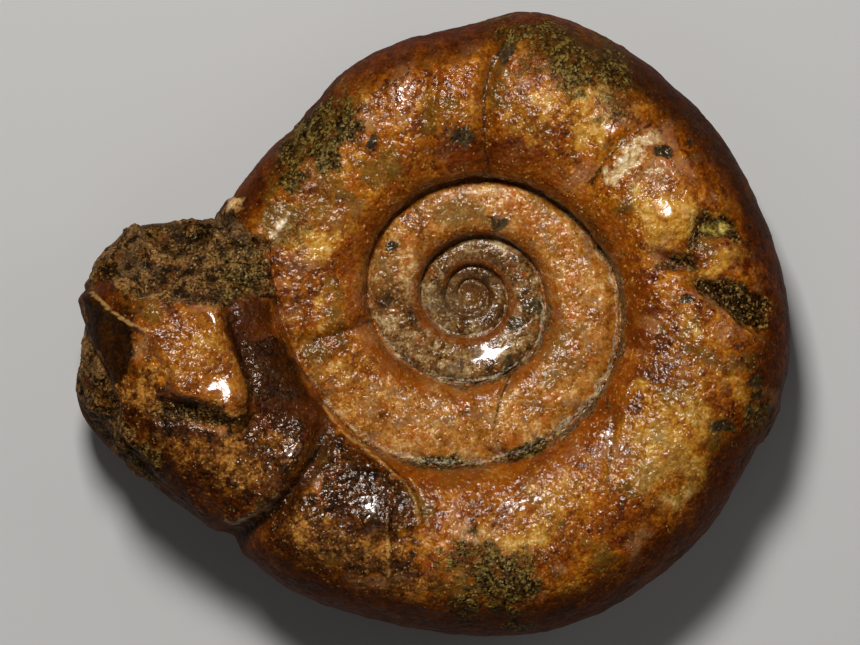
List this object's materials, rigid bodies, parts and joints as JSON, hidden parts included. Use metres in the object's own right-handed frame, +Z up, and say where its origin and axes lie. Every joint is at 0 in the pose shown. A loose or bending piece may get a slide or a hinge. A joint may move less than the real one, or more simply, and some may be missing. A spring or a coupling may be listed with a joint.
{
  "type": "ammonite fossil",
  "caption": "Flat-coiled ammonite fossil with open stepped whorls, a furrowed last whorl and a thick broken body chamber, lying on its side.",
  "frame": {"origin": "centre of the bounding box at the rest plane, on which the fossil's worn underside lies", "axes": "+Z up out of the finished flank, along the coil's axis to within a degree; +X along the longest extent, away from the broken body chamber"},
  "size_m": [0.0356, 0.0312, 0.0117],
  "materials": {
    "stone": "brown calcite and iron-stained shell, polished by handling, with rough grey-green sandy rock at the broken end"
  },
  "bodies": {
    "root": {"ammonite": "stone"}
  },
  "joints": []
}
